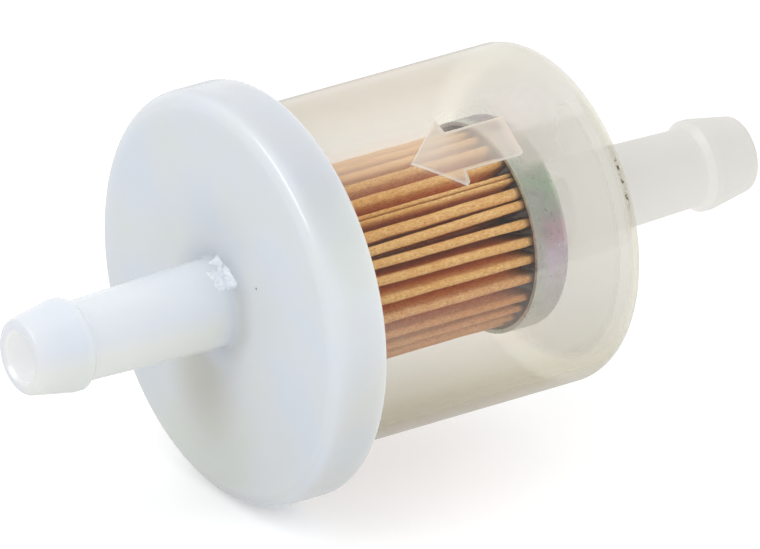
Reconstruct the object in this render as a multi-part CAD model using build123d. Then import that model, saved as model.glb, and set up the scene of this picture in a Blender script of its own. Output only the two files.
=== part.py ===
from build123d import *
import math
import os

# In-line fuel filter for 1/4 in (6.35 mm) fuel hose.
# Millimetres. The flow axis is X: fuel enters the nipple at +X, crosses the pleats
# from outside to inside, and leaves by the nipple at -X. Z is up.
# Origin: on the flow axis, half way between the two nipple tips.

# ---- overall -------------------------------------------------------------
OVERALL_LEN = 73.0          # nipple tip to nipple tip
NIPPLE_LEN = 19.65          # each nipple, face to tip
HALF = OVERALL_LEN / 2
CAP_FRONT_X = -HALF + NIPPLE_LEN      # outer face of the white cap
BOWL_END_X = HALF - NIPPLE_LEN        # outer end face of the bowl

# ---- hose nipples --------------------------------------------------------
BORE_R = 2.1                # through bore
BORE_CHAMFER = 0.3
TIP_R = 3.25                # outside radius at the tip
TIP_ROUND = 0.6
BARB_R = 4.0                # barb crest, bites the hose
BARB_CONE = 4.2             # tip to the start of the crest
BARB_LAND = 0.7             # crest width
BARB_BACK = 0.6             # slope behind the crest
STEM_R_NEAR = 3.43          # stem just behind the barb
STEM_R_BASE = 3.85          # stem at its root, moulding draft
ROOT_ROUND = 0.5

# ---- white outlet cap ----------------------------------------------------
CAP_R = 18.0
CAP_T = 5.15                # front face to back edge of the skirt
CAP_WALL = 2.35
SKIRT_IN_R = 16.6
CAP_FRONT_ROUND = 1.4
CAP_BACK_ROUND = 0.4
COLLAR_IN_R = 9.45          # ring that centres the element's open end
COLLAR_OUT_R = 10.6
COLLAR_H = 2.0
SPIGOT_R = 3.1              # tube that carries the element
SPIGOT_LEN = 5.6

# ---- clear inlet bowl ----------------------------------------------------
BOWL_R = 14.8
BOWL_WALL = 1.6
END_WALL = 1.35
BOWL_END_ROUND = 2.0
BOWL_IN_ROUND = 0.9
FLANGE_R = 16.4
FLANGE_T = 2.0
TONGUE_IN_R, TONGUE_OUT_R, TONGUE_H = 15.3, 16.0, 0.5   # spin-weld tongue

# ---- raised flow arrow on the bowl ---------------------------------------
ARROW_ANGLE = 34.7          # from +Z towards -Y, about X
ARROW_FACE_R = BOWL_R + 0.5 # flat face, this far from the axis
ARROW_TIP_X, ARROW_BARB_X, ARROW_NOTCH_X, ARROW_TAIL_X = -3.0, 1.1, 1.35, 7.2
ARROW_HALF_W, ARROW_TAIL_HALF_W = 3.2, 1.88

# ---- element -------------------------------------------------------------
CUP_R = 9.2                 # both plated steel end cups
CUP_T = 0.35
CUP_DEPTH = 3.5
CLOSED_FACE_X = 12.9        # outer face of the closed cup
OPEN_FACE_X = -13.5         # outer face of the open cup
CUP_ROUND = 0.8
HOLE_COLLAR_R = 4.1         # outside of the drawn collar in the open cup
HOLE_COLLAR_LEN = 2.6
POT_CLOSED_X = 9.9          # free surface of the adhesive in the closed cup
POT_OPEN_X = -10.5          # free surface of the adhesive in the open cup
CORE_IN_R, CORE_OUT_R = 4.2, 4.5
CORE_X0, CORE_X1 = -12.9, 12.2
CORE_HOLE_R = 0.75
PAPER_T = 0.30
PAPER_IN_R, PAPER_OUT_R = 5.0, 8.35   # middle of the sheet at the folds
PAPER_X0, PAPER_X1 = -12.9, 12.25
OUTER_FOLD_W, INNER_FOLD_W = 0.60, 0.34
SEAM_GAP = 0.16             # glue line between the sheet's two end flaps
SEAM_ANGLE = 38.3           # from +Z towards -Y
# Outer folds, degrees from +Z towards -Y. The pleats are hand-spread, so they vary.
FOLDS = [48.0, 56.3, 65.7, 76.4, 88.0, 101.2, 115.0, 126.5, 138.5, 150.0, 162.0, 174.0,
         185.5, 197.5, 209.0, 221.0, 233.0, 244.5, 256.5, 268.0, 280.0, 292.0, 303.5, 315.5,
         327.0, 339.0, 350.5, 362.5, 374.0, 386.0]


# ---- helpers -------------------------------------------------------------
def outline(points):
    """Closed wire through (x, r, corner radius) points, with tangent arcs at the corners."""
    n = len(points)
    legs = []
    for i in range(n):
        p = Vector(points[i][0], points[i][1])
        a = Vector(points[i - 1][0], points[i - 1][1])
        b = Vector(points[(i + 1) % n][0], points[(i + 1) % n][1])
        rad = points[i][2] if len(points[i]) > 2 else 0
        if rad <= 0:
            legs.append((p, p, None))
            continue
        u, v = (a - p).normalized(), (b - p).normalized()
        half = math.radians(u.get_angle(v)) / 2
        cut = rad / math.tan(half)
        mid = (u + v).normalized()
        centre = p + mid * (rad / math.sin(half))
        legs.append((p + u * cut, p + v * cut, centre - mid * rad))
    edges = []
    for i in range(n):
        start, end, arc = legs[i]
        if arc is not None:
            edges.append(ThreePointArc(start, arc, end))
        nxt = legs[(i + 1) % n][0]
        if (nxt - end).length > 1e-6:
            edges.append(Line(end, nxt))
    return Wire(edges)


def turned(points):
    """A solid of revolution about X from (x, r, corner radius) points."""
    return revolve(Face(outline(points)), Axis.X, 360)


def nipple(face_x, out):
    """Outside profile of a hose nipple from its root to its bore mouth. out is +1 or -1 along X."""
    tip = face_x + out * NIPPLE_LEN
    at = lambda s: tip - out * s
    return [
        (face_x, STEM_R_BASE, ROOT_ROUND),
        (at(BARB_CONE + BARB_LAND + BARB_BACK), STEM_R_NEAR, 0.3),
        (at(BARB_CONE + BARB_LAND), BARB_R),
        (at(BARB_CONE), BARB_R),
        (tip, TIP_R, TIP_ROUND),
        (tip, BORE_R + BORE_CHAMFER),
        (at(BORE_CHAMFER), BORE_R),
    ]


def about_axis(shape, degrees_from_up):
    """Turns a shape built at +Z about X, towards -Y."""
    return Rot(X=degrees_from_up) * shape


def polar(deg, r):
    a = math.radians(deg)
    return (-math.sin(a) * r, math.cos(a) * r)      # (Y, Z)


def shift(line, d):
    """A polyline moved sideways by d, mitred at its corners."""
    out = []
    for i, p in enumerate(line):
        dirs = []
        if i:
            q = line[i - 1]
            dirs.append((p[0] - q[0], p[1] - q[1]))
        if i < len(line) - 1:
            q = line[i + 1]
            dirs.append((q[0] - p[0], q[1] - p[1]))
        norms = []
        for dx, dy in dirs:
            m = math.hypot(dx, dy)
            norms.append((-dy / m, dx / m))
        if len(norms) == 1:
            out.append((p[0] + norms[0][0] * d, p[1] + norms[0][1] * d))
        else:
            mx, my = norms[0][0] + norms[1][0], norms[0][1] + norms[1][1]
            k = 2 / (mx * mx + my * my)
            out.append((p[0] + mx * k * d, p[1] + my * k * d))
    return out


# ---- white outlet cap: disc, skirt, nipple, spigot and collar in one moulding ----
cap_in = CAP_FRONT_X + CAP_WALL
cap_back = CAP_FRONT_X + CAP_T
outlet_cap = turned(
    [
        (CAP_FRONT_X, CAP_R, CAP_FRONT_ROUND),
        *nipple(CAP_FRONT_X, -1),
        (cap_in + SPIGOT_LEN, BORE_R),
        (cap_in + SPIGOT_LEN, SPIGOT_R, 0.3),
        (cap_in, SPIGOT_R),
        (cap_in, COLLAR_IN_R),
        (cap_in + COLLAR_H, COLLAR_IN_R),
        (cap_in + COLLAR_H, COLLAR_OUT_R, 0.3),
        (cap_in, COLLAR_OUT_R),
        (cap_in, TONGUE_IN_R),
        (cap_in - TONGUE_H, TONGUE_IN_R),
        (cap_in - TONGUE_H, TONGUE_OUT_R),
        (cap_in, TONGUE_OUT_R),
        (cap_in, SKIRT_IN_R),
        (cap_back, SKIRT_IN_R),
        (cap_back, CAP_R, CAP_BACK_ROUND),
    ]
)

# ---- clear inlet bowl: cup, weld flange and nipple in one moulding, with its arrow ----
inner_end = BOWL_END_X - END_WALL
bowl = turned(
    [
        (cap_in, FLANGE_R, 0.2),
        (cap_in, TONGUE_OUT_R),
        (cap_in - TONGUE_H, TONGUE_OUT_R),
        (cap_in - TONGUE_H, TONGUE_IN_R),
        (cap_in, TONGUE_IN_R),
        (cap_in, BOWL_R - BOWL_WALL),
        (inner_end, BOWL_R - BOWL_WALL, BOWL_IN_ROUND),
        (inner_end, BORE_R),
        *nipple(BOWL_END_X, +1)[::-1],
        (BOWL_END_X, BOWL_R, BOWL_END_ROUND),
        (cap_in + FLANGE_T, BOWL_R, 0.4),
        (cap_in + FLANGE_T, FLANGE_R, 0.3),
    ]
)
arrow_outline = [
    (ARROW_TIP_X, 0),
    (ARROW_BARB_X, ARROW_HALF_W),
    (ARROW_NOTCH_X, ARROW_TAIL_HALF_W),
    (ARROW_TAIL_X, ARROW_TAIL_HALF_W),
    (ARROW_TAIL_X, -ARROW_TAIL_HALF_W),
    (ARROW_NOTCH_X, -ARROW_TAIL_HALF_W),
    (ARROW_BARB_X, -ARROW_HALF_W),
]
ARROW_ROOT_R = BOWL_R - 0.8
arrow_face = Face(Wire([Line(Vector(*arrow_outline[i], ARROW_ROOT_R), Vector(*arrow_outline[(i + 1) % 7], ARROW_ROOT_R)) for i in range(7)]))
arrow = extrude(arrow_face, amount=ARROW_FACE_R - ARROW_ROOT_R, dir=(0, 0, 1))
top_edges = [e for e in arrow.edges() if abs(e.center().Z - ARROW_FACE_R) < 1e-6]
arrow = fillet(top_edges, 0.12)
inlet_bowl = bowl + about_axis(arrow, ARROW_ANGLE)

# ---- perforated steel core that keeps the pleats from folding inwards ----
core_tube = turned([(CORE_X0, CORE_IN_R), (CORE_X1, CORE_IN_R), (CORE_X1, CORE_OUT_R), (CORE_X0, CORE_OUT_R)])
holes = []
for row in range(8):
    x = -8.9 + row * 2.5
    for k in range(4):
        turn = k * 45 + (22.5 if row % 2 else 0)
        holes.append(Pos(x, 0, 0) * Rot(X=turn) * Cylinder(CORE_HOLE_R, 12))
core_tube = core_tube - holes

# ---- pleated paper: one sheet, folded round the core, its two end flaps glued ----
half_fold = OUTER_FOLD_W / 2
seam_half = (SEAM_GAP + PAPER_T) / 2


def offset_point(deg, r, side):
    """The point at radius r along direction deg, moved side mm across it."""
    y, z = polar(deg, r)
    a = math.radians(deg)
    return (y - math.cos(a) * side, z - math.sin(a) * side)


middle = [offset_point(SEAM_ANGLE, PAPER_OUT_R, seam_half), offset_point(SEAM_ANGLE, PAPER_IN_R + 0.5, seam_half)]
ridges = [SEAM_ANGLE] + FOLDS + [SEAM_ANGLE + 360]
for i in range(1, len(ridges)):
    valley = (ridges[i - 1] + ridges[i]) / 2
    middle.append(offset_point(valley, PAPER_IN_R, -INNER_FOLD_W / 2))
    middle.append(offset_point(valley, PAPER_IN_R, INNER_FOLD_W / 2))
    if i < len(ridges) - 1:
        middle.append(offset_point(ridges[i], PAPER_OUT_R, -half_fold))
        middle.append(offset_point(ridges[i], PAPER_OUT_R, half_fold))
middle.append(offset_point(SEAM_ANGLE, PAPER_IN_R + 0.5, -seam_half))
middle.append(offset_point(SEAM_ANGLE, PAPER_OUT_R, -seam_half))
sheet_length = sum(math.dist(a, b) for a, b in zip(middle, middle[1:]))
loop = shift(middle, PAPER_T / 2) + shift(middle, -PAPER_T / 2)[::-1]
n = len(loop)
paper_face = Face(Wire([Line(Vector(PAPER_X0, *loop[i]), Vector(PAPER_X0, *loop[(i + 1) % n])) for i in range(n)]))
filter_paper = extrude(paper_face, amount=PAPER_X1 - PAPER_X0, dir=(1, 0, 0))

# glue line between the two end flaps of the sheet
seam_low, seam_high = PAPER_IN_R + 0.9, PAPER_OUT_R
seam_adhesive = about_axis(
    Pos((PAPER_X0 + PAPER_X1) / 2, 0, (seam_low + seam_high) / 2)
    * Box(PAPER_X1 - PAPER_X0, SEAM_GAP, seam_high - seam_low),
    SEAM_ANGLE,
)

# ---- plated steel end cups ----
rim_x = CLOSED_FACE_X - CUP_DEPTH
disc_x = CLOSED_FACE_X - CUP_T
DIMPLE_R, DIMPLE_D = 3.2, 0.5     # pressed recess in the closed face
closed_end_cup = turned(
    [
        (rim_x, CUP_R),
        (rim_x, CUP_R - CUP_T),
        (disc_x, CUP_R - CUP_T, CUP_ROUND - CUP_T),
        (disc_x, DIMPLE_R + CUP_T, 0.2),
        (disc_x - DIMPLE_D, DIMPLE_R, 0.2),
        (disc_x - DIMPLE_D, 0),
        (CLOSED_FACE_X - DIMPLE_D, 0),
        (CLOSED_FACE_X - DIMPLE_D, DIMPLE_R - 0.1, 0.2),
        (CLOSED_FACE_X, DIMPLE_R + CUP_T - 0.1, 0.2),
        (CLOSED_FACE_X, CUP_R, CUP_ROUND),
    ]
)
open_rim_x = OPEN_FACE_X + CUP_DEPTH
open_disc_x = OPEN_FACE_X + CUP_T
HOLE_R = HOLE_COLLAR_R - CUP_T
open_end_cup = turned(
    [
        (open_rim_x, CUP_R),
        (OPEN_FACE_X, CUP_R, CUP_ROUND),
        (OPEN_FACE_X, HOLE_R, 0.3),
        (OPEN_FACE_X + HOLE_COLLAR_LEN, HOLE_R),
        (OPEN_FACE_X + HOLE_COLLAR_LEN, HOLE_COLLAR_R),
        (open_disc_x, HOLE_COLLAR_R),
        (open_disc_x, CUP_R - CUP_T, CUP_ROUND - CUP_T),
        (open_rim_x, CUP_R - CUP_T),
    ]
)

# ---- potting adhesive in each cup, moulded round the ends of the paper and core ----
closed_slug = turned(
    [
        (POT_CLOSED_X, CUP_R - CUP_T),
        (disc_x, CUP_R - CUP_T, CUP_ROUND - CUP_T),
        (disc_x, DIMPLE_R + CUP_T, 0.2),
        (disc_x - DIMPLE_D, DIMPLE_R, 0.2),
        (disc_x - DIMPLE_D, 0),
        (POT_CLOSED_X, 0),
    ]
)
closed_end_potting = closed_slug - core_tube - filter_paper - seam_adhesive
open_slug = turned(
    [
        (POT_OPEN_X, CUP_R - CUP_T),
        (POT_OPEN_X, HOLE_COLLAR_R + 0.1),
        (open_disc_x, HOLE_COLLAR_R + 0.1),
        (open_disc_x, CUP_R - CUP_T, CUP_ROUND - CUP_T),
    ]
)
open_end_potting = open_slug - core_tube - filter_paper - seam_adhesive

# ---- nitrile grommet that seals the open cup to the spigot ----
GROMMET_FLANGE_R = 6.6
GROMMET_SLEEVE_X = -11.2
spigot_seal = turned(
    [
        (cap_in, SPIGOT_R),
        (GROMMET_SLEEVE_X, SPIGOT_R),
        (GROMMET_SLEEVE_X, HOLE_R),
        (OPEN_FACE_X, HOLE_R, 0.3),
        (OPEN_FACE_X, GROMMET_FLANGE_R, 0.2),
        (cap_in, GROMMET_FLANGE_R, 0.2),
    ]
)

nodes = {
    "outlet_cap": outlet_cap,
    "inlet_bowl": inlet_bowl,
    "filter_paper": filter_paper,
    "seam_adhesive": seam_adhesive,
    "core_tube": core_tube,
    "closed_end_cup": closed_end_cup,
    "closed_end_potting": closed_end_potting,
    "open_end_cup": open_end_cup,
    "open_end_potting": open_end_potting,
    "spigot_seal": spigot_seal,
}
os.makedirs("parts", exist_ok=True)
for name, shape in nodes.items():
    solids = shape.solids() if hasattr(shape, "solids") else ShapeList([shape])
    print(name, "solids", len(solids), "mm3", round(sum(s.volume for s in solids), 2))
    export_step(Compound(children=list(solids)) if len(solids) > 1 else solids[0], f"parts/{name}.step")
print("paper sheet, mm:", round(sheet_length, 1), "x", round(PAPER_X1 - PAPER_X0, 2))
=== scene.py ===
import math
import random

import bmesh
import bpy
import numpy as np
from mathutils import Matrix, Vector, noise


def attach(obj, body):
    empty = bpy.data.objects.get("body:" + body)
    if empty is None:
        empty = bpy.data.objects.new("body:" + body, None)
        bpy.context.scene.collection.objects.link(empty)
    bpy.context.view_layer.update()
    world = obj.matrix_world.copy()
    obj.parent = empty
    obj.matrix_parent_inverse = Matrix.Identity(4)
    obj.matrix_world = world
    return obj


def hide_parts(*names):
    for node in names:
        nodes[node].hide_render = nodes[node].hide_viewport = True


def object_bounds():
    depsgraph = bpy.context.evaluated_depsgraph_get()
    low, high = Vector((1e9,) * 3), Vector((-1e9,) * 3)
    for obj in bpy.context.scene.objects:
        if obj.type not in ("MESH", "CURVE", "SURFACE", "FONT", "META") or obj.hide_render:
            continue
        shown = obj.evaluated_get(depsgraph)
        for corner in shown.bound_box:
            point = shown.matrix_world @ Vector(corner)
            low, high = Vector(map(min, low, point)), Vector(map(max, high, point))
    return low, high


# In-line fuel filter. Metres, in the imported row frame: +X runs from the outlet (white cap)
# to the inlet (clear bowl), +Z is up. Lengths below are written in millimetres and scaled by MM.
MM = 0.001
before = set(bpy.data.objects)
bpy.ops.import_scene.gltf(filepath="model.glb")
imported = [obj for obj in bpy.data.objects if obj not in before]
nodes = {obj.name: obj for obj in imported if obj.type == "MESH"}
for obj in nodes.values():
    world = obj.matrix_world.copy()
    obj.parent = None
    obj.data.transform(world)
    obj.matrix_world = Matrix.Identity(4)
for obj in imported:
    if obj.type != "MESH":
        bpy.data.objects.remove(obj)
cad_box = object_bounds()
rng = random.Random(41)

scene = bpy.context.scene
scene.view_settings.view_transform = "Standard"
scene.view_settings.look = "None"


# =====================================================================================
# camera
# =====================================================================================
AZ, EL = math.radians(-34.145), math.radians(24.930)
back = Vector((math.sin(AZ) * math.cos(EL), -math.cos(AZ) * math.cos(EL), math.sin(EL)))
target = Vector((-0.341, 0.0, -1.801)) * MM
cam_data = bpy.data.cameras.new("camera")
cam_data.sensor_width = 36.0
cam_data.lens = 16651.43 / 760 * 36
cam_data.clip_start, cam_data.clip_end = 0.05, 100
cam = bpy.data.objects.new("camera", cam_data)
cam.rotation_mode = "QUATERNION"
cam.location = target + back * 1.4
cam.rotation_quaternion = (-back).to_track_quat("-Z", "Y")
scene.collection.objects.link(cam)
scene.camera = cam


# =====================================================================================
# node helpers
# =====================================================================================
def lin(r, g, b):
    """sRGB 0-255 to linear RGBA."""
    out = []
    for c in (r, g, b):
        c /= 255
        out.append(c / 12.92 if c <= 0.04045 else ((c + 0.055) / 1.055) ** 2.4)
    return (*out, 1.0)


class Mat:
    """A small wrapper that makes node graphs short to write."""

    def __init__(self, name):
        self.m = bpy.data.materials.new(name)
        self.m.use_nodes = True
        self.t = self.m.node_tree
        self.t.nodes.clear()
        self.out = self.t.nodes.new("ShaderNodeOutputMaterial")

    def n(self, kind, **props):
        node = self.t.nodes.new(kind)
        inputs = props.pop("inputs", {})
        for k, v in props.items():
            setattr(node, k, v)
        for k, v in inputs.items():
            self.set(node, k, v)
        return node

    def set(self, node, key, value):
        sock = node.inputs[key]
        if isinstance(value, bpy.types.NodeSocket):
            self.t.links.new(value, sock)
        elif isinstance(value, bpy.types.Node):
            self.t.links.new(value.outputs[0], sock)
        else:
            sock.default_value = value

    def math(self, op, a, b=None, c=None, clamp=False):
        node = self.n("ShaderNodeMath", operation=op, use_clamp=clamp)
        for i, v in enumerate((a, b, c)):
            if v is not None:
                self.set(node, i, v)
        return node.outputs[0]

    def ramp(self, fac, stops, interp="LINEAR"):
        node = self.n("ShaderNodeValToRGB")
        node.color_ramp.interpolation = interp
        el = node.color_ramp.elements
        while len(el) > 1:
            el.remove(el[-1])
        el[0].position, el[0].color = stops[0][0], _rgba(stops[0][1])
        for p, c in stops[1:]:
            e = el.new(p)
            e.color = _rgba(c)
        self.set(node, "Fac", fac)
        return node.outputs["Color"]

    def smooth(self, value, lo, hi, a=0.0, b=1.0):
        node = self.n("ShaderNodeMapRange", interpolation_type="SMOOTHSTEP")
        self.set(node, "Value", value)
        for k, v in (("From Min", lo), ("From Max", hi), ("To Min", a), ("To Max", b)):
            self.set(node, k, v)
        return node.outputs["Result"]

    def mix(self, fac, a, b, mode="MIX"):
        node = self.n("ShaderNodeMix", data_type="RGBA", blend_type=mode)
        self.set(node, "Factor", fac)
        self.set(node, node.inputs.find("A_Color") if False else 6, a)
        self.set(node, 7, b)
        return node.outputs[2]

    def noise(self, vector, scale, detail=3.0, rough=0.5, distort=0.0, dims="3D"):
        node = self.n("ShaderNodeTexNoise", noise_dimensions=dims)
        if vector is not None:
            self.set(node, "Vector", vector)
        for k, v in (("Scale", scale), ("Detail", detail), ("Roughness", rough), ("Distortion", distort)):
            self.set(node, k, v)
        return node.outputs["Fac"]

    def position(self):
        """(x, y, z) sockets in millimetres, in the row frame, and the vector itself in millimetres."""
        tc = self.n("ShaderNodeTexCoord")
        mul = self.n("ShaderNodeVectorMath", operation="SCALE")
        self.set(mul, 0, tc.outputs["Object"])
        mul.inputs["Scale"].default_value = 1000.0
        sep = self.n("ShaderNodeSeparateXYZ")
        self.set(sep, 0, mul.outputs[0])
        return sep.outputs[0], sep.outputs[1], sep.outputs[2], mul.outputs[0]

    def radius(self, y, z):
        return self.math("SQRT", self.math("ADD", self.math("MULTIPLY", y, y), self.math("MULTIPLY", z, z)))

    def angle(self, y, z):
        """Degrees from +Z towards -Y, -180 to 180."""
        a = self.math("ARCTAN2", self.math("MULTIPLY", y, -1.0), z)
        return self.math("MULTIPLY", a, 180 / math.pi)


def _rgba(c):
    if isinstance(c, (int, float)):
        return (c, c, c, 1.0)
    return (*c, 1.0) if len(c) == 3 else c


def assign(obj, mat):
    obj.data.materials.clear()
    obj.data.materials.append(mat)


def smooth_cad(obj, degrees=32):
    """Smooth shading across the tessellation, with true edges kept sharp. Vertices are untouched."""
    me = obj.data
    me.polygons.foreach_set("use_smooth", [True] * len(me.polygons))
    bm = bmesh.new()
    bm.from_mesh(me)
    lim = math.radians(degrees)
    for e in bm.edges:
        e.smooth = len(e.link_faces) == 2 and e.calc_face_angle(0) < lim
    bm.to_mesh(me)
    bm.free()


def new_mesh(name, verts, faces, body="root", smooth=True):
    me = bpy.data.meshes.new(name)
    me.from_pydata([tuple(v) for v in verts], [], faces)
    me.validate()
    me.update()
    obj = bpy.data.objects.new(name, me)
    scene.collection.objects.link(obj)
    if smooth:
        me.polygons.foreach_set("use_smooth", [True] * len(me.polygons))
    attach(obj, body)
    return obj


def polar(x, r, deg):
    a = math.radians(deg)
    return (x * MM, -math.sin(a) * r * MM, math.cos(a) * r * MM)


# =====================================================================================
# materials
# =====================================================================================
def cap_plastic():
    """Natural white moulded plastic: cool, milky, lit from inside, with a soft satin skin."""
    m = Mat("cap_plastic")
    x, y, z, p = m.position()
    cloud = m.noise(p, 0.11, 2.0, 0.5)
    fine = m.noise(p, 0.9, 4.0, 0.6)
    tint = m.ramp(cloud, [(0.30, lin(222, 229, 237)), (0.52, lin(226, 230, 234)), (0.72, lin(225, 230, 227))])
    col = m.mix(m.math("MULTIPLY", fine, 0.10), tint, lin(234, 239, 245))
    # painted shade: the face is a touch warmer and dimmer low down, and a painted shadow darkens it most just under the
    # nipple
    face = m.smooth(x, -16.4, -16.8)
    col = m.mix(m.math("MULTIPLY", face, m.smooth(z, 2.0, -15.0)), col, (0.955, 0.945, 0.915, 1), "MULTIPLY")
    dy = m.math("DIVIDE", m.math("SUBTRACT", y, 2.2), 6.0)
    dz = m.math("DIVIDE", m.math("ADD", z, 7.2), 7.6)
    # painted shadow of the nipple on the face below it
    painted_shadow_under = m.smooth(m.radius(dy, dz), 1.1, 0.1)
    col = m.mix(m.math("MULTIPLY", face, painted_shadow_under), col, (0.84, 0.80, 0.71, 1), "MULTIPLY")
    # painted shade: a bluish darker patch on the face just above the nipple's root
    painted_shade_over = m.smooth(m.radius(m.math("DIVIDE", m.math("SUBTRACT", y, -0.5), 6.5), m.math("DIVIDE", m.math("SUBTRACT", z, 5.6), 5.0)), 1.0, 0.1)
    col = m.mix(m.math("MULTIPLY", face, painted_shade_over), col, (0.93, 0.945, 0.975, 1), "MULTIPLY")
    dot = m.smooth(m.radius(m.math("ADD", y, 6.0), m.math("SUBTRACT", z, 3.5)), 0.17, 0.07)
    col = m.mix(m.math("MULTIPLY", face, dot), col, (0.45, 0.42, 0.42, 1), "MULTIPLY")
    # painted light and shade on the rim: lighter at the very bottom, darker on top, warmer and dimmer on the lower side
    rim = m.smooth(x, -16.7, -15.7)
    col = m.mix(m.math("MULTIPLY", rim, m.smooth(z, -13.0, -16.5)), col, (1.12, 1.12, 1.115, 1), "MULTIPLY")
    col = m.mix(m.math("MULTIPLY", rim, m.smooth(z, 5.0, 16.0)), col, (0.83, 0.83, 0.84, 1), "MULTIPLY")
    col = m.mix(m.math("MULTIPLY", rim, m.math("MULTIPLY", m.smooth(z, 5.0, -7.0), m.smooth(z, -17.0, -12.0))), col, (0.96, 0.94, 0.885, 1), "MULTIPLY")
    side = m.smooth(m.math("ABSOLUTE", m.math("SUBTRACT", m.angle(y, z), 125.0)), 62, 20)
    painted_light_flank = m.smooth(m.math("ABSOLUTE", m.math("SUBTRACT", m.angle(y, z), 105.0)), 65, 25)
    side = m.math("MULTIPLY", side, m.smooth(x, -17.2, -19.5))
    stem = m.mix(side, lin(219, 226, 239), lin(228, 232, 223))
    # painted light: the nipple's lower flank by its root is lightened where the root would shade it
    stem = m.mix(m.math("MULTIPLY", painted_light_flank, m.smooth(x, -17.6, -17.0)), stem, lin(234, 239, 241))
    stem = m.mix(m.smooth(x, -31.6, -32.4), stem, (0.94, 0.94, 0.955, 1), "MULTIPLY")
    # painted light: the inside of the bore is painted near-white so it reads as lit
    stem = m.mix(m.smooth(m.radius(y, z), 2.5, 2.2), stem, lin(252, 252, 250))

    def body(base, scale):
        bsdf = m.n("ShaderNodeBsdfPrincipled")
        m.set(bsdf, "Base Color", base)
        m.set(bsdf, "Roughness", m.ramp(fine, [(0.3, 0.19), (0.7, 0.27)]))
        bsdf.inputs["IOR"].default_value = 1.49
        bsdf.inputs["Specular IOR Level"].default_value = 0.32
        bsdf.inputs["Subsurface Weight"].default_value = 1.0
        bsdf.inputs["Subsurface Radius"].default_value = (1.0, 1.0, 1.05)
        bsdf.inputs["Subsurface Scale"].default_value = scale
        m.set(bsdf, "Normal", bump)
        return bsdf

    bump = m.n("ShaderNodeBump", inputs={"Strength": 0.10, "Distance": 0.00004})
    m.set(bump, "Height", m.math("ADD", m.noise(p, 0.55, 3.0, 0.5), m.math("MULTIPLY", m.noise(p, 6.0, 2.0, 0.5), 0.12)))
    bsdf = m.n("ShaderNodeMixShader")
    near_root = m.smooth(m.radius(y, z), 6.6, 4.3)
    m.set(bsdf, 0, m.math("MAXIMUM", m.smooth(x, -16.9, -17.3), m.math("MULTIPLY", face, near_root)))
    m.set(bsdf, 1, body(col, 0.0020))
    m.set(bsdf, 2, body(stem, 0.0065))
    # the nipple's walls are thin enough for daylight to pass, so it shades little and its bore is bright
    path = m.n("ShaderNodeLightPath")
    thin = m.n("ShaderNodeBsdfTransparent", inputs={"Color": (0.97, 0.98, 0.985, 1)})
    inner = m.n("ShaderNodeMixShader")
    m.set(inner, 0, m.smooth(x, -17.0, -18.4, 0.0, 0.85))
    m.set(inner, 1, bsdf)
    m.set(inner, 2, thin)
    final = m.n("ShaderNodeMixShader")
    m.set(final, 0, path.outputs["Is Diffuse Ray"])
    m.set(final, 1, bsdf)
    m.set(final, 2, inner)
    m.set(m.out, "Surface", final)
    return m.m


def torn_plastic():
    """The cap's plastic where it was torn: whiter, rough and crumbly."""
    m = Mat("torn_plastic")
    x, y, z, p = m.position()
    crumb = m.noise(p, 4.0, 3.0, 0.6)
    bsdf = m.n("ShaderNodeBsdfPrincipled")
    m.set(bsdf, "Base Color", m.ramp(crumb, [(0.35, lin(220, 226, 233)), (0.6, lin(238, 243, 249))]))
    bsdf.inputs["Roughness"].default_value = 0.45
    bump = m.n("ShaderNodeBump", inputs={"Strength": 0.5, "Distance": 0.0001})
    m.set(bump, "Height", crumb)
    m.set(bsdf, "Normal", bump)
    path = m.n("ShaderNodeLightPath")
    thin = m.n("ShaderNodeBsdfTransparent", inputs={"Color": (1, 1, 1, 1)})
    final = m.n("ShaderNodeMixShader")
    m.set(final, 0, path.outputs["Is Diffuse Ray"])
    m.set(final, 1, bsdf)
    m.set(final, 2, thin)
    m.set(m.out, "Surface", final)
    return m.m


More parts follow.
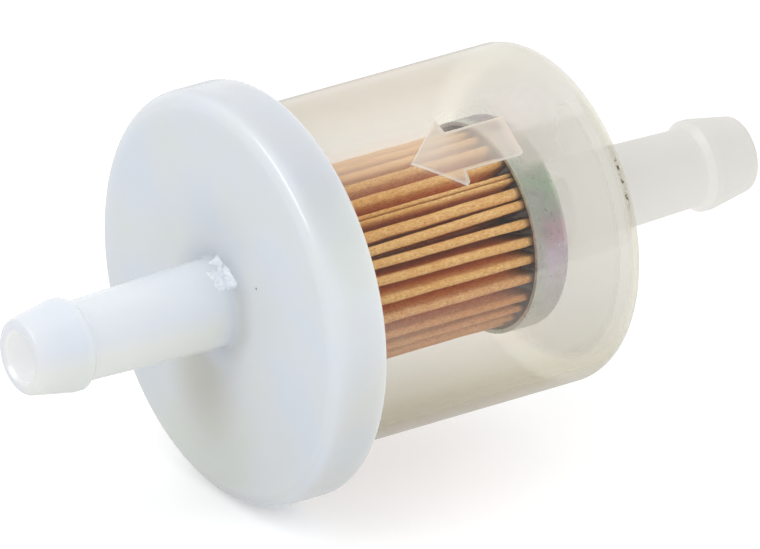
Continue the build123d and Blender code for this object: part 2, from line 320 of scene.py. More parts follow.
def bowl_plastic():
    """Clear moulded plastic with a warm cast that deepens where the wall is seen aslant, a faint milky haze,
    a frosted arrow face and a milky nipple. The tint and haze sit on the outer skin, once for the whole wall."""
    m = Mat("bowl_plastic")
    x, y, z, p = m.position()
    r = m.radius(y, z)
    facing = m.n("ShaderNodeLayerWeight", inputs={"Blend": 0.5}).outputs["Facing"]
    skin = m.math("MAXIMUM", m.smooth(r, 13.9, 14.3), m.smooth(x, 15.9, 16.2), clamp=True)
    nipple = m.math("MULTIPLY", m.smooth(x, 16.2, 17.2), m.smooth(r, 5.6, 4.1))
    face = m.math("MULTIPLY", m.smooth(r, 15.20, 15.26), m.smooth(x, -6.0, -5.0))
    wall = m.math("MULTIPLY", m.smooth(r, 14.86, 14.90), m.smooth(x, -6.0, -5.0))
    flange = m.math("MULTIPLY", m.smooth(x, -12.0, -12.6), m.smooth(r, 14.7, 15.2))
    a = m.angle(y, z)
    # painted highlight: a whiter, milkier line round the barrel's outer edge near the end, where a highlight runs
    ring = m.smooth(m.math("ABSOLUTE", m.math("SUBTRACT", x, 15.2)), 0.17, 0.03)
    ring = m.math("MULTIPLY", m.math("MULTIPLY", ring, skin), m.math("MULTIPLY", m.smooth(a, 30, 62), m.smooth(a, 122, 100)))
    endwall = m.math("MULTIPLY", m.smooth(x, 15.2, 15.6), m.smooth(r, 13.6, 11.6))
    specks = m.math("MULTIPLY", m.smooth(a, 50, 53), m.smooth(a, 70, 66))
    band = m.smooth(m.math("ABSOLUTE", m.math("SUBTRACT", x, 15.68)), 0.20, 0.12)
    specks = m.math("MULTIPLY", specks, m.math("MULTIPLY", band, m.smooth(r, 14.2, 14.35)))
    specks = m.math("MULTIPLY", specks, m.smooth(m.noise(p, 2.9, 2.0, 0.6), 0.50, 0.55))
    cloud = m.noise(p, 0.16, 3.0, 0.55)
    haze = m.math("MULTIPLY_ADD", m.math("POWER", facing, 2.0), 0.50, 0.020)
    haze = m.math("MULTIPLY_ADD", cloud, 0.04, haze)
    haze = m.math("MULTIPLY", haze, skin)
    # painted reflections: two milky veils on the barrel wall, above and below the clear view of the paper, stand in for
    # reflections of the bright surroundings; the lower one carries painted highlight streaks
    painted_veil_up = m.math("MULTIPLY", m.math("MULTIPLY", m.smooth(a, 19, 27), m.smooth(a, 45, 34)), m.smooth(x, 3.5, -3.0))
    painted_veil_up = m.math("MULTIPLY", painted_veil_up, skin)
    drift = m.math("MULTIPLY_ADD", x, -0.55, a)
    slant = m.n("ShaderNodeCombineXYZ")
    m.set(slant, 0, m.math("MULTIPLY", x, 0.10))
    m.set(slant, 1, m.math("MULTIPLY", m.math("MULTIPLY_ADD", x, 2.4, a), 0.09))
    streak = m.noise(slant.outputs[0], 1.6, 3.0, 0.6)
    painted_veil_low = m.math("MULTIPLY", m.smooth(drift, 84, 95), m.smooth(drift, 108, 99))
    painted_veil_low = m.math("MULTIPLY", painted_veil_low, m.math("MULTIPLY", m.smooth(x, 11.5, 4.0), m.smooth(streak, 0.35, 0.60, 0.75, 1.1)))
    painted_veil_low = m.math("MULTIPLY", painted_veil_low, skin)
    # painted highlight: a milky white patch over the closed cup stands in for the cup's bright reflection washing out
    # the view
    wander = m.math("MULTIPLY_ADD", m.noise(p, 0.45, 3.0, 0.6), 4.0, m.math("ADD", a, -2.0))
    patch = m.math("MULTIPLY", m.math("MULTIPLY", m.smooth(wander, 14, 24), m.smooth(wander, 49, 44)), m.smooth(x, 6.0, 7.6))
    patch = m.math("MULTIPLY", m.math("MULTIPLY", patch, m.smooth(x, 13.4, 9.4)), skin)
    # painted light: the top of the barrel is made milkier and whiter where the light from above falls, less so over one
    # clearer stretch
    painted_light_crown = m.math("MULTIPLY", m.smooth(z, 11.4, 14.2), skin)
    clear_a = m.math("MULTIPLY", m.smooth(a, 16, 23), m.smooth(a, 38, 32))
    clear_x = m.math("MULTIPLY", m.smooth(x, 0.5, 3.0), m.smooth(x, 8.6, 6.8))
    painted_light_crown = m.math("MULTIPLY", painted_light_crown, m.math("MULTIPLY_ADD", m.math("MULTIPLY", clear_a, clear_x), -0.8, 1.0))
    tail = m.smooth(x, 2.5, 6.5)
    painted_veil = m.math("MAXIMUM", painted_veil_up, painted_veil_low)
    haze = m.math("MULTIPLY_ADD", painted_light_crown, 0.34, haze)
    haze = m.math("MULTIPLY_ADD", patch, 0.50, haze)
    haze = m.math("MULTIPLY_ADD", painted_veil_up, 0.20, haze)
    haze = m.math("MULTIPLY_ADD", painted_veil_low, 0.13, haze)
    haze = m.math("MULTIPLY_ADD", nipple, 0.84, haze)
    haze = m.math("MULTIPLY_ADD", wall, 0.60, haze)
    haze = m.math("MULTIPLY_ADD", face, m.math("MULTIPLY_ADD", tail, 0.17, -0.21), haze)
    haze = m.math("MULTIPLY_ADD", ring, 0.45, haze)
    haze = m.math("MULTIPLY_ADD", endwall, 0.68, haze)
    haze = m.math("MULTIPLY_ADD", flange, 0.30, haze)
    haze = m.math("MULTIPLY_ADD", specks, 0.9, haze)
    haze = m.math("MINIMUM", haze, 0.96)
    body_col = m.mix(m.math("MAXIMUM", nipple, m.math("MAXIMUM", endwall, ring), clamp=True), lin(231, 228, 221), lin(250, 248, 243))
    body_col = m.mix(painted_light_crown, body_col, lin(243, 241, 236))
    body_col = m.mix(painted_veil, body_col, lin(250, 234, 214))
    body_col = m.mix(wall, body_col, lin(252, 246, 236))
    body_col = m.mix(specks, body_col, lin(120, 110, 72))
    diff = m.n("ShaderNodeBsdfDiffuse", inputs={"Color": body_col})
    trans = m.n("ShaderNodeBsdfTranslucent", inputs={"Color": body_col})
    body = m.n("ShaderNodeMixShader")
    m.set(body, 0, m.math("MULTIPLY_ADD", endwall, 0.3, 0.5))
    m.set(body, 1, diff)
    m.set(body, 2, trans)
    tint = m.ramp(
        facing,
        [
            (0.12, (0.962, 0.954, 0.920)),
            (0.32, (0.870, 0.856, 0.820)),
            (0.48, (0.826, 0.804, 0.722)),
            (0.60, (0.757, 0.727, 0.612)),
            (0.72, (0.706, 0.672, 0.545)),
        ],
    )
    # the end wall is thinner than it looks aslant, so its cast stays light
    end_tint = m.mix(m.smooth(r, 13.0, 14.2), (0.925, 0.912, 0.868, 1), (0.930, 0.922, 0.845, 1))
    tint = m.mix(m.smooth(x, 14.6, 15.8), tint, end_tint)
    tint = m.mix(skin, (0.995, 0.995, 0.992, 1), tint)
    clear = m.n("ShaderNodeBsdfTransparent", inputs={"Color": tint})
    mixed = m.n("ShaderNodeMixShader")
    m.set(mixed, 0, haze)
    m.set(mixed, 1, clear)
    m.set(mixed, 2, body)
    gloss = m.n("ShaderNodeBsdfGlossy", inputs={"Color": (1, 1, 1, 1)})
    m.set(gloss, "Roughness", m.math("MULTIPLY_ADD", nipple, 0.30, 0.10))
    bump = m.n("ShaderNodeBump", inputs={"Strength": 0.12, "Distance": 0.00005})
    m.set(bump, "Height", m.noise(p, 0.35, 2.0, 0.5))
    m.set(gloss, "Normal", bump)
    fres = m.math("MULTIPLY_ADD", m.math("POWER", facing, 5.0), 0.50, 0.075)
    path = m.n("ShaderNodeLightPath")
    first = m.smooth(path.outputs["Transparent Depth"], 0.6, 0.4)
    fres = m.math("MULTIPLY", fres, m.math("MULTIPLY", first, m.math("MULTIPLY_ADD", skin, 0.98, 0.02)))
    fres = m.math("MULTIPLY", fres, m.math("MULTIPLY_ADD", nipple, -0.65, 1.0))
    top = m.n("ShaderNodeMixShader")
    m.set(top, 0, fres)
    m.set(top, 1, mixed)
    m.set(top, 2, gloss)
    # scattered light passes the thin walls unhindered, as it does in the real, forward-scattering plastic
    open_wall = m.n("ShaderNodeBsdfTransparent", inputs={"Color": (1, 1, 1, 1)})
    final = m.n("ShaderNodeMixShader")
    m.set(final, 0, path.outputs["Is Diffuse Ray"])
    m.set(final, 1, top)
    m.set(final, 2, open_wall)
    m.set(m.out, "Surface", final)
    return m.m


def paper_material():
    """Resin-treated filter paper: tan, fibrous and matte, darker where adhesive has wicked into it, with painted shade
    in its valleys, on its lower side and near the cap.
    """
    m = Mat("filter_paper")
    x, y, z, p = m.position()
    stretch = m.n("ShaderNodeMapping")
    stretch.inputs["Scale"].default_value = (0.35, 1.0, 1.0)
    m.set(stretch, "Vector", p)
    fibre = m.noise(stretch.outputs[0], 9.0, 5.0, 0.65, 0.6)
    mottle = m.noise(p, 0.8, 3.0, 0.55)
    col = m.ramp(fibre, [(0.36, lin(212, 154, 90)), (0.5, lin(240, 190, 122)), (0.64, lin(253, 218, 158))])
    col = m.mix(m.smooth(mottle, 0.35, 0.7, 0.0, 0.3), col, lin(222, 152, 82))
    stain = m.n("ShaderNodeAttribute", attribute_name="stain", attribute_type="GEOMETRY")
    col = m.mix(m.math("MULTIPLY", stain.outputs["Fac"], 0.80), col, lin(112, 84, 72))
    # painted shade: the valleys are darker and redder the deeper they lie
    deep = m.n("ShaderNodeAttribute", attribute_name="deep", attribute_type="GEOMETRY")
    col = m.mix(deep.outputs["Fac"], col, (0.90, 0.56, 0.40, 1), "MULTIPLY")
    # painted shade: the paper's lower side is darker and redder
    col = m.mix(m.smooth(m.angle(y, z), 86, 114), col, (0.80, 0.63, 0.60, 1), "MULTIPLY")
    # painted shade: the upper paper near the cap is darker and more saturated, where the cap shades it
    col = m.mix(m.math("MULTIPLY", m.smooth(m.angle(y, z), 58, 36), m.smooth(x, 3.0, -3.0)), col, (0.94, 0.84, 0.66, 1), "MULTIPLY")
    bsdf = m.n("ShaderNodeBsdfPrincipled")
    m.set(bsdf, "Base Color", col)
    bsdf.inputs["Roughness"].default_value = 0.85
    bsdf.inputs["Specular IOR Level"].default_value = 0.25
    bump = m.n("ShaderNodeBump", inputs={"Strength": 0.5, "Distance": 0.00005})
    m.set(bump, "Height", m.math("ADD", fibre, m.math("MULTIPLY", m.noise(p, 3.0, 3.0, 0.6), 0.7)))
    m.set(bsdf, "Normal", bump)
    m.set(m.out, "Surface", bsdf)
    return m.m


def adhesive_material():
    m = Mat("adhesive")
    x, y, z, p = m.position()
    n1 = m.noise(p, 1.4, 4.0, 0.6)
    col = m.ramp(n1, [(0.3, lin(58, 50, 52)), (0.6, lin(82, 72, 72)), (0.8, lin(104, 92, 88))])
    bsdf = m.n("ShaderNodeBsdfPrincipled")
    m.set(bsdf, "Base Color", col)
    bsdf.inputs["Roughness"].default_value = 0.42
    bump = m.n("ShaderNodeBump", inputs={"Strength": 0.3, "Distance": 0.00008})
    m.set(bump, "Height", n1)
    m.set(bsdf, "Normal", bump)
    m.set(m.out, "Surface", bsdf)
    return m.m


def plated_steel():
    """Zinc plate with an iridescent passivated film: green, rose and lilac clouds on satin metal."""
    m = Mat("plated_steel")
    x, y, z, p = m.position()
    a = m.angle(y, z)
    r = m.radius(y, z)
    cloud = m.noise(p, 0.16, 2.0, 0.5, 0.4)
    fine = m.noise(p, 0.75, 4.0, 0.62, 0.8)
    wave = m.math("MULTIPLY_ADD", cloud, 0.26, m.math("MULTIPLY_ADD", fine, 0.30, -0.28))
    wave = m.math("MULTIPLY_ADD", a, 1 / 105.0, wave)
    t = m.math("FRACT", wave)
    film = m.ramp(
        t,
        [
            (0.00, lin(206, 200, 200)),
            (0.34, lin(197, 201, 193)),
            (0.46, lin(188, 210, 184)),
            (0.58, lin(196, 199, 193)),
            (0.72, lin(216, 186, 198)),
            (0.84, lin(212, 200, 216)),
            (1.00, lin(210, 204, 206)),
        ],
    )
    # painted reflection: the top of the cup is painted dark, standing in for a dark reflection of the surroundings
    film = m.mix(m.math("MULTIPLY", m.smooth(a, 10, 4), m.smooth(a, -75, -30)), film, (0.34, 0.31, 0.33, 1), "MULTIPLY")
    brushed = m.n("ShaderNodeMapping")
    brushed.inputs["Scale"].default_value = (3.0, 0.5, 0.5)
    m.set(brushed, "Vector", p)
    film = m.mix(m.smooth(m.noise(brushed.outputs[0], 2.2, 4.0, 0.6), 0.40, 0.66, 0.0, 0.22), film, lin(226, 222, 222))
    # pale, greenish wear along the mouth, and smudges and fine drawing lines round the wall
    wear = m.math("MULTIPLY", m.smooth(m.math("MULTIPLY_ADD", fine, 1.6, x), 11.6, 10.6), m.smooth(r, 8.8, 9.1))
    film = m.mix(m.math("MULTIPLY", wear, 0.62), film, lin(204, 211, 197))
    turned = m.n("ShaderNodeCombineXYZ")
    m.set(turned, 0, m.math("MULTIPLY", x, 2.6))
    m.set(turned, 1, m.math("MULTIPLY", a, 0.035))
    lines = m.noise(turned.outputs[0], 1.4, 4.0, 0.65)
    film = m.mix(m.smooth(lines, 0.48, 0.74, 0.0, 0.22), film, lin(150, 144, 146))
    film = m.mix(m.smooth(m.noise(p, 0.42, 3.0, 0.6, 0.5), 0.50, 0.70, 0.0, 0.36), film, lin(160, 156, 156))
    bsdf = m.n("ShaderNodeBsdfPrincipled")
    m.set(bsdf, "Base Color", film)
    bsdf.inputs["Metallic"].default_value = 0.4
    m.set(bsdf, "Roughness", m.ramp(m.noise(p, 1.2, 4.0, 0.6), [(0.3, 0.24), (0.7, 0.38)]))
    bump = m.n("ShaderNodeBump", inputs={"Strength": 0.25, "Distance": 0.00003})
    m.set(bump, "Height", m.noise(p, 2.5, 4.0, 0.6))
    m.set(bsdf, "Normal", bump)
    m.set(m.out, "Surface", bsdf)
    return m.m


def core_steel():
    m = Mat("core_steel")
    x, y, z, p = m.position()
    n1 = m.noise(p, 2.0, 4.0, 0.6)
    bsdf = m.n("ShaderNodeBsdfPrincipled")
    m.set(bsdf, "Base Color", m.ramp(n1, [(0.3, lin(150, 150, 146)), (0.7, lin(186, 184, 178))]))
    bsdf.inputs["Metallic"].default_value = 1.0
    m.set(bsdf, "Roughness", m.ramp(n1, [(0.3, 0.3), (0.7, 0.45)]))
    m.set(m.out, "Surface", bsdf)
    return m.m


def seal_rubber():
    m = Mat("seal_rubber")
    x, y, z, p = m.position()
    n1 = m.noise(p, 3.0, 4.0, 0.6)
    bsdf = m.n("ShaderNodeBsdfPrincipled")
    m.set(bsdf, "Base Color", m.ramp(n1, [(0.3, lin(30, 30, 32)), (0.7, lin(46, 46, 48))]))
    m.set(bsdf, "Roughness", m.ramp(n1, [(0.3, 0.55), (0.7, 0.7)]))
    m.set(m.out, "Surface", bsdf)
    return m.m


MAT = {
    "cap_plastic": cap_plastic(),
    "bowl_plastic": bowl_plastic(),
    "filter_paper": paper_material(),
    "adhesive": adhesive_material(),
    "plated_steel": plated_steel(),
    "core_steel": core_steel(),
    "seal_rubber": seal_rubber(),
    "torn_plastic": torn_plastic(),
}
for node_name, slot in (
    ("outlet_cap", "cap_plastic"),
    ("inlet_bowl", "bowl_plastic"),
    ("core_tube", "core_steel"),
    ("closed_end_cup", "plated_steel"),
    ("open_end_cup", "plated_steel"),
    ("open_end_potting", "adhesive"),
    ("spigot_seal", "seal_rubber"),
):
    assign(nodes[node_name], MAT[slot])
    smooth_cad(nodes[node_name])


# =====================================================================================
# pleated paper
# =====================================================================================
PAPER_X0, PAPER_X1 = -12.8, 12.2
CUP_RIM = 9.4
R_OUT, R_IN = 8.37, 5.0
SEAM = (38.3, 37.8)
# (angle at x = -6, angle at x = 9, fold width, fold radius) of the outer folds, from +Z towards -Y
SEEN = [
    (48.9, 47.6, 0.66, 8.40),
    (57.4, 55.3, 0.54, 8.42),
    (65.5, 66.2, 0.50, 8.40),
    (75.7, 77.1, 0.54, 8.41),
    (87.7, 88.3, 0.50, 8.38),
    (101.2, 101.0, 0.56, 8.36),
    (114.5, 115.5, 0.54, 8.38),
]
UNSEEN = [126.5, 138.5, 150.0, 162.0, 174.0, 185.5, 197.5, 209.0, 221.0, 233.0, 244.5, 256.5,
          268.0, 280.0, 292.0, 303.5, 315.5, 327.0, 339.0, 350.5, 362.5]
LAST = [(373.6, 373.0, 0.56, 8.36), (386.2, 385.6, 0.60, 8.40)]
folds = list(SEEN)
for a in UNSEEN:
    folds.append((a + rng.uniform(-0.9, 0.9), a + rng.uniform(-0.9, 0.9), rng.uniform(0.44, 0.60), R_OUT + rng.uniform(-0.06, 0.05)))
folds += LAST
PLEATS = len(folds)
bulge = [(rng.uniform(-0.10, 0.10), rng.uniform(-0.10, 0.10)) for _ in range(PLEATS + 2)]
valley_w = [rng.uniform(0.46, 0.58) for _ in range(PLEATS + 2)]
phase = [rng.uniform(0, 50) for _ in range(PLEATS + 3)]


def wob(k, x, scale, amp):
    """Smooth, repeatable wander along X for fold k."""
    return amp * noise.noise(Vector((x / scale, phase[k], 3.7)))


def at(x, pair):
    t = (x + 6.0) / 15.0
    return pair[0] + (pair[1] - pair[0]) * t


def pt(deg, r, side):
    """Point in (Y, Z) at radius r along direction deg, moved side mm across it towards larger angles."""
    a = math.radians(deg)
    return np.array((-math.sin(a) * r - math.cos(a) * side, math.cos(a) * r - math.sin(a) * side))


def side_run(p, q, bow, n):
    """n points from p to q, both left out, bowed sideways by bow mm."""
    d = q - p
    nrm = np.array((-d[1], d[0])) / np.linalg.norm(d)
    return [p + d * t + nrm * bow * math.sin(math.pi * t) for t in ((i + 1) / (n + 1) for i in range(n))]


def arc(deg, centre_r, rad, outward, n, past=0.0):
    """A half circle about the point at centre_r along deg, from smaller to larger angles, carried on past its ends."""
    out = []
    for i in range(n):
        t = -past + (math.pi + 2 * past) * i / (n - 1)
        s, c = -math.cos(t) * rad, math.sin(t) * rad * (1 if outward else -1)
        out.append(pt(deg, centre_r + c, s))
    return out


def section(x):
    """The middle line of the sheet at x, from one end flap round to the other."""
    seam = at(x, SEAM)
    ang = [at(x, f) + wob(i, x, 4.5, 0.30) + wob(i, x + 40, 0.8, 0.09) for i, f in enumerate(folds)]
    gap = 0.235
    flap1 = [pt(seam, R_OUT + 0.08 + wob(PLEATS, x, 1.3, 0.07), gap), pt(seam, 6.6, gap + 0.02)]
    flap2 = [pt(seam + 360, 6.6, -gap - 0.02), pt(seam + 360, R_OUT + 0.05 + wob(PLEATS + 1, x, 1.1, 0.07), -gap)]
    ridge = [seam] + ang + [seam + 360]
    path = []
    last = flap1[0]
    path.append(last)
    path += side_run(flap1[0], flap1[1], 0.0, 4)
    last = flap1[1]
    path.append(last)
    for k in range(len(ridge) - 1):
        v = (ridge[k] + ridge[k + 1]) / 2
        w = valley_w[k]
        va = arc(v, R_IN + w / 2 + 0.1 * noise.noise(Vector((x / 5, phase[k] + 9, 1.0))), w / 2, False, 7)
        path += side_run(last, va[0], bulge[k][0], 9)
        path += va
        if k < len(ridge) - 2:
            fa, fb, fw, fr = folds[k]
            fw = fw * (1 + 0.13 * noise.noise(Vector((x / 3.0, phase[k] + 20, 5.0))) + 0.09 * noise.noise(Vector((x / 0.45, phase[k] + 60, 5.0))))
            fr = fr + 0.05 * noise.noise(Vector((x / 2.0, phase[k] + 30, 8.0)))
            oa = arc(ridge[k + 1], fr - fw / 2, fw / 2, True, 15, 0.62)
            path += side_run(va[-1], oa[0], bulge[k][1], 9)
            path += oa
            last = oa[-1]
        else:
            path += side_run(va[-1], flap2[0], bulge[k][1], 9)
            path.append(flap2[0])
            path += side_run(flap2[0], flap2[1], 0.0, 4)
            path.append(flap2[1])
    pts = np.array(path)
    for _ in range(1):
        pts[1:-1] = pts[1:-1] * 0.5 + (pts[:-2] + pts[2:]) * 0.25
    return pts


# how far adhesive has climbed each valley at the closed end (valley index: climb in mm, stain in mm)
CLIMB = {0: (0.45, 0.9), 1: (0.35, 0.8), 2: (1.6, 6.2), 3: (1.0, 3.2), 4: (0.8, 2.2), 5: (1.1, 3.4), 6: (1.3, 3.6), 7: (1.2, 3.4)}


def climb_of(k):
    if k in CLIMB:
        return CLIMB[k]
    r2 = random.Random(900 + k)
    return (r2.uniform(0.3, 1.1), r2.uniform(0.8, 2.8))


def paper():
    stations = 120
    xs = [PAPER_X0 + (PAPER_X1 - PAPER_X0) * i / (stations - 1) for i in range(stations)]
    half = 0.145
    rings, radii = [], []
    for x in xs:
        c = section(x)
        t = np.gradient(c, axis=0)
        t /= np.linalg.norm(t, axis=1)[:, None]
        nrm = np.stack([-t[:, 1], t[:, 0]], 1)
        outer, inner = c + nrm * half, c - nrm * half
        ring = np.concatenate([outer, inner[::-1]])
        rings.append(ring)
    n = len(rings[0])
    m = n // 2
    verts = []
    for x, ring in zip(xs, rings):
        for i, (yy, zz) in enumerate(ring):
            verts.append((x * MM, yy * MM, zz * MM))
    faces = []
    for s in range(stations - 1):
        a, b = s * n, (s + 1) * n
        for i in range(n):
            j = (i + 1) % n
            faces.append((a + i, a + j, b + j, b + i))
    for base, flip in ((0, True), ((stations - 1) * n, False)):
        for i in range(m - 1):
            q = (base + i, base + i + 1, base + n - 2 - i, base + n - 1 - i)
            faces.append(q[::-1] if flip else q)
    obj = new_mesh("paper_pleats", verts, faces)
    # stain: dark where the adhesive has wicked out of the cups
    per = 7 + 9 + 15 + 9
    stain = np.zeros(len(verts), np.float32)
    flat = np.concatenate(rings)
    # painted shade: how deep each point lies in a valley, stored as the attribute deep that darkens the valleys
    rad = np.hypot(flat[:, 0], flat[:, 1])
    depth = np.clip((8.22 - rad) / 1.0, 0, 1)
    depth = (depth * depth * (3 - 2 * depth)).astype(np.float32)
    for s, x in enumerate(xs):
        for i in range(n):
            j = i if i < m else n - 1 - i
            k = max(0, min(PLEATS, (j - 6 + 4 + 9) // per))
            yy, zz = rings[s][i]
            r = math.hypot(yy, zz)
            reach = climb_of(k)[1]
            reach = 0.35 + (reach - 0.35) * max(0.0, min(1.0, (8.35 - r) / 0.9))
            reach *= 0.8 + 0.5 * noise.noise(Vector((yy * 0.9, zz * 0.9, 2.0)))
            d = CUP_RIM - x
            v = max(0.0, min(1.0, 1.0 - d / max(reach, 0.05)))
            d2 = x + 10.0
            v2 = max(0.0, min(1.0, 1.0 - d2 / 0.9))
            stain[s * n + i] = min(1.0, max(v, v2) ** 0.8)
    layer = obj.data.attributes.new("stain", "FLOAT", "POINT")
    layer.data.foreach_set("value", stain)
    layer = obj.data.attributes.new("deep", "FLOAT", "POINT")
    layer.data.foreach_set("value", depth)
    assign(obj, MAT["filter_paper"])
    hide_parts("filter_paper")
    return obj


paper_obj = paper()


# glue line between the end flaps
def seam_bead():
    stations, prof = 70, []
    verts, faces = [], []
    for i in range(stations):
        x = PAPER_X0 + 0.1 + (PAPER_X1 - PAPER_X0 - 0.2) * i / (stations - 1)
        seam = at(x, SEAM)
        top = 8.12 + 0.10 * noise.noise(Vector((x * 0.9, 4.0, 7.0)))
        w = 0.085
        ring = [pt(seam, 5.9, -w), pt(seam, 7.0, -w), pt(seam, top - 0.1, -w), pt(seam, top, -w * 0.5), pt(seam, top + 0.02, 0), pt(seam, top, w * 0.5), pt(seam, top - 0.1, w), pt(seam, 7.0, w), pt(seam, 5.9, w)]
        verts += [(x * MM, a * MM, b * MM) for a, b in ring]
    n = 9
    for s in range(stations - 1):
        for i in range(n):
            j = (i + 1) % n
            faces.append((s * n + i, s * n + j, (s + 1) * n + j, (s + 1) * n + i))
    faces.append(tuple(range(n))[::-1])
    faces.append(tuple((stations - 1) * n + i for i in range(n)))
    obj = new_mesh("seam_glue_line", verts, faces)
    assign(obj, MAT["adhesive"])
    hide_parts("seam_adhesive")


seam_bead()


# potting adhesive in the closed cup: a cured pool that has crept up every valley
def potting():
    nr, na = 26, 1080
    r0, r1, base, bottom = 4.52, 8.84, 9.86, 12.35
    mid = []
    ridges = [at(9.0, SEAM)] + [at(9.0, f) for f in folds] + [at(9.0, SEAM) + 360]
    vals = [((ridges[k] + ridges[k + 1]) / 2, climb_of(k)[0], (ridges[k + 1] - ridges[k]) / 2) for k in range(len(ridges) - 1)]
    verts = []
    for i in range(nr):
        r = r0 + (r1 - r0) * i / (nr - 1)
        for j in range(na):
            a = SEAM[1] + 360 * j / na
            c = 0.0
            for v, h, hw in vals:
                d = abs((a - v + 180) % 360 - 180)
                if d < hw * 1.2:
                    g = math.exp(-((d / (hw * 0.55)) ** 2))
                    ramp = min(1.0, max(0.0, (8.5 - r) / 0.9)) * 0.85 + 0.15
                    c += h * g * ramp
            wall = 0.16 * math.exp(-((r1 - r) / 0.12))
            x = base - c - wall - 0.05 * noise.noise(Vector((r * 0.8, a * 0.09, 4.0)))
            verts.append(polar(x, r, a))
    faces = []
    for i in range(nr - 1):
        for j in range(na):
            k = (j + 1) % na
            faces.append((i * na + j, (i + 1) * na + j, (i + 1) * na + k, i * na + k))
    # down the cup wall, across the bottom and up the core
    rings = [(bottom, r1), (bottom, r0)]
    prev = (nr - 1) * na
    for x, r in rings:
        start = len(verts)
        for j in range(na):
            verts.append(polar(x, r, SEAM[1] + 360 * j / na))
        for j in range(na):
            k = (j + 1) % na
            faces.append((prev + j, start + j, start + k, prev + k))
        prev = start
    for j in range(na):
        k = (j + 1) % na
        faces.append((prev + j, j, k, prev + k))
    obj = new_mesh("closed_end_adhesive", verts, faces)
    assign(obj, MAT["adhesive"])
    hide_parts("closed_end_potting")


potting()


def gate_mark():
    """The torn stub left where the moulding gate was broken off the nipple's root."""
    nx, na = 34, 60
    x0, x1, a0, a1 = -16.87, -18.75, -4.0, 53.0
    verts = []
    for i in range(nx):
        x = x0 + (x1 - x0) * i / (nx - 1)
        for j in range(na):
            a = a0 + (a1 - a0) * j / (na - 1)
            stem = 3.85 - 0.0245 * (-16.85 - x)
            if x > -17.35:
                stem += 0.5 - math.sqrt(max(0.0, 0.25 - (x + 17.35) ** 2)) if x < -16.85 else 0.5
            n1 = noise.fractal(Vector((x * 1.5, a * 0.07, 2.0)), 1.0, 2.2, 4)
            u, v = (x - x0) / (x1 - x0), (a - a0) / (a1 - a0)
            ragged = 0.13 * noise.noise(Vector((x * 2.0, a * 0.12, 9.0)))
            # a broad patch low on the side and a small tag near the top, with bare nipple between
            patch = min(1.0, max(0.0, (v - 0.36 + ragged) / 0.08)) * min(1.0, max(0.0, (0.97 - v) / 0.05)) * min(1.0, max(0.0, (0.93 + ragged - u) / 0.12))
            tag = min(1.0, max(0.0, (0.24 + ragged - v) / 0.06)) * min(1.0, max(0.0, (v - 0.03) / 0.05)) * min(1.0, max(0.0, (0.48 + ragged - u) / 0.12))
            h = max(patch * (0.09 + 0.10 * n1), tag * (0.12 + 0.12 * n1)) - 0.03
            verts.append(polar(x, stem + h, a))
    faces = [(i * na + j, i * na + j + 1, (i + 1) * na + j + 1, (i + 1) * na + j) for i in range(nx - 1) for j in range(na - 1)]
    # close it underneath so that the mesh is a solid chip
    base = len(verts)
    for i in range(nx):
        x = x0 + (x1 - x0) * i / (nx - 1)
        for j in range(na):
            verts.append(polar(x, 3.35, a0 + (a1 - a0) * j / (na - 1)))
    for i in range(nx - 1):
        for j in range(na - 1):
            faces.append((base + (i + 1) * na + j, base + (i + 1) * na + j + 1, base + i * na + j + 1, base + i * na + j))
    for i in range(nx - 1):
        for j in (0, na - 1):
            q = (i * na + j, (i + 1) * na + j, base + (i + 1) * na + j, base + i * na + j)
            faces.append(q if j == 0 else q[::-1])
    for j in range(na - 1):
        for i in (0, nx - 1):
            q = (i * na + j, base + i * na + j, base + i * na + j + 1, i * na + j + 1)
            faces.append(q if i == 0 else q[::-1])
    obj = new_mesh("gate_mark", verts, faces)
    assign(obj, MAT["torn_plastic"])


gate_mark()


# =====================================================================================
# light, floor and backdrop
# =====================================================================================
world = bpy.data.worlds.new("studio")
scene.world = world
world.use_nodes = True
world.cycles.sampling_method = "NONE"
wt = world.node_tree
wt.nodes.clear()


def wn(kind, **kw):
    node = wt.nodes.new(kind)
    for k, v in kw.items():
        setattr(node, k, v)
    return node


def wlink(a, b):
    wt.links.new(a, b)


tc = wn("ShaderNodeTexCoord")
sep = wn("ShaderNodeSeparateXYZ")
wlink(tc.outputs["Generated"], sep.inputs[0])


def wmap(sock, lo, hi, a, b, kind="SMOOTHSTEP"):
    node = wn("ShaderNodeMapRange", interpolation_type=kind)
    wlink(sock, node.inputs["Value"])
    for k, v in (("From Min", lo), ("From Max", hi), ("To Min", a), ("To Max", b)):
        node.inputs[k].default_value = v
    return node.outputs["Result"]


def wmath(op, a, b):
    node = wn("ShaderNodeMath", operation=op)
    for i, v in enumerate((a, b)):
        if isinstance(v, (int, float)):
            node.inputs[i].default_value = v
        else:
            wlink(v, node.inputs[i])
    return node.outputs[0]


zz = sep.outputs[2]
yy = sep.outputs[1]
# seen in reflections: a bright overhead softbox, a dim room in front, the white table below
soft_top = wmap(wmath("ADD", zz, wmath("MULTIPLY", yy, 0.461)), 0.785, 0.825, 0.0, 1.15)
table = wmap(zz, -0.16, -0.12, 0.75, 0.0)
rear = wmath("MULTIPLY", wmap(yy, 0.0, 0.42, 0.0, 1.25), wmap(sep.outputs[0], -0.45, 0.25, 0.12, 1.0))
room = wmath("MAXIMUM", rear, 0.16)
mid_band = wmath("MULTIPLY", room, wmap(zz, -0.16, -0.12, 0.0, 1.0))
reflect = wmath("ADD", table, wmath("MAXIMUM", soft_top, mid_band))


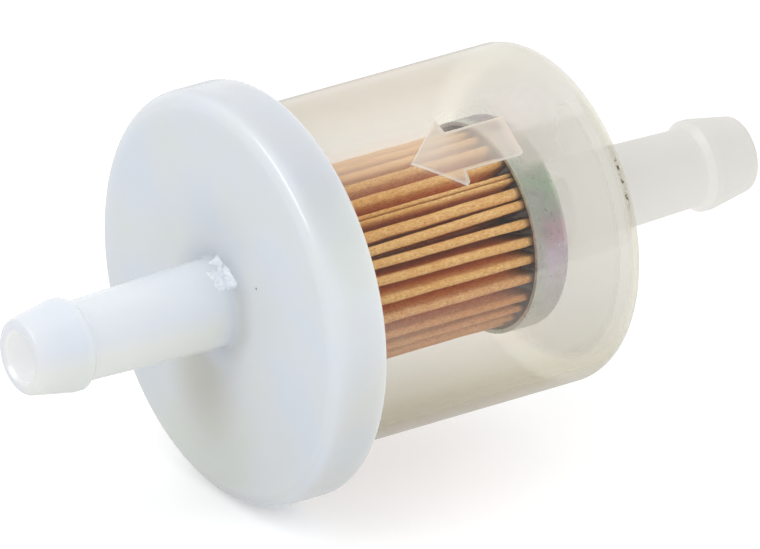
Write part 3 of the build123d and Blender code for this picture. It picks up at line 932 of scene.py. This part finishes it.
# felt as light: an even white tent, a little stronger from above
even = wmath("ADD", wmap(zz, -0.4, 1.0, 0.72, 0.83, "LINEAR"), wmap(yy, 0.1, -0.9, 0.0, 0.16))
even = wmath("ADD", even, wmap(sep.outputs[0], 0.15, 0.9, 0.0, 0.30))
lp = wn("ShaderNodeLightPath")
bg_r, bg_d, bg_c = (wn("ShaderNodeBackground") for _ in range(3))
wlink(reflect, bg_r.inputs["Strength"])
wlink(even, bg_d.inputs["Strength"])
bg_c.inputs["Strength"].default_value = 1.05
for b in (bg_r, bg_d, bg_c):
    b.inputs["Color"].default_value = (1, 1, 1, 1)
bg_r.inputs["Color"].default_value = (1.0, 0.995, 0.985, 1)
mix1, mix2 = wn("ShaderNodeMixShader"), wn("ShaderNodeMixShader")
wlink(lp.outputs["Is Glossy Ray"], mix1.inputs[0])
wlink(bg_d.outputs[0], mix1.inputs[1])
wlink(bg_r.outputs[0], mix1.inputs[2])
wlink(lp.outputs["Is Camera Ray"], mix2.inputs[0])
wlink(mix1.outputs[0], mix2.inputs[1])
wlink(bg_c.outputs[0], mix2.inputs[2])
wout = wn("ShaderNodeOutputWorld")
wlink(mix2.outputs[0], wout.inputs["Surface"])


def area(name, location, toward, size, power, color=(1, 1, 1), size_y=None):
    data = bpy.data.lights.new(name, "AREA")
    data.shape = "RECTANGLE"
    data.size = size
    data.size_y = size_y or size
    data.energy = power
    data.color = color
    obj = bpy.data.objects.new(name, data)
    obj.location = location
    obj.rotation_mode = "QUATERNION"
    obj.rotation_quaternion = (Vector(toward) - Vector(location)).to_track_quat("-Z", "Y")
    scene.collection.objects.link(obj)
    return obj


# a long lamp up to the left, seen only in reflections: it draws the bright line on the cap's front edge
lamp_n = Vector((-0.75, 0.05, 0.60)).normalized()
lamp_t = Vector((-0.26, -0.83, -0.28))
lamp_t = (lamp_t - lamp_n * lamp_t.dot(lamp_n)).normalized()
line = area("edge_line", lamp_n * 0.7, (0, 0, 0), 0.055, 2.3, (0.97, 0.985, 1.0), 0.56)
line.rotation_quaternion = Matrix((-lamp_n.cross(lamp_t), lamp_t, lamp_n)).transposed().to_quaternion()
line.visible_diffuse = False
line.visible_camera = False
line.visible_transmission = False

key = area("key_overhead", (-0.20, -0.03, 0.72), (0, 0, 0), 0.50, 0.85, (1.0, 0.99, 0.97))
key.data.specular_factor = 0.3
area("left_strip", (-0.62, 0.03, 0.50), (0, 0, 0), 0.20, 0.45, (0.93, 0.96, 1.0), 0.42)

floor_mat = Mat("floor_white")
fx, fy, fz, fp = floor_mat.position()
fd = floor_mat.n("ShaderNodeBsdfDiffuse", inputs={"Color": (0.76, 0.76, 0.76, 1)})
fe = floor_mat.n("ShaderNodeEmission", inputs={"Color": (1, 1, 1, 1)})
flp = floor_mat.n("ShaderNodeLightPath")
floor_mat.set(fe, "Strength", floor_mat.math("MULTIPLY", flp.outputs["Is Camera Ray"], 0.38))
fadd = floor_mat.n("ShaderNodeAddShader")
floor_mat.set(fadd, 0, fd)
floor_mat.set(fadd, 1, fe)
floor_mat.set(floor_mat.out, "Surface", fadd)
fme = bpy.data.meshes.new("floor")
fz0 = cad_box[0].z - 0.0002
fme.from_pydata([(-40, -40, fz0), (40, -40, fz0), (40, 40, fz0), (-40, 40, fz0)], [], [(0, 1, 2, 3)])
floor = bpy.data.objects.new("floor", fme)
scene.collection.objects.link(floor)
floor.data.materials.append(floor_mat.m)
floor.visible_glossy = False
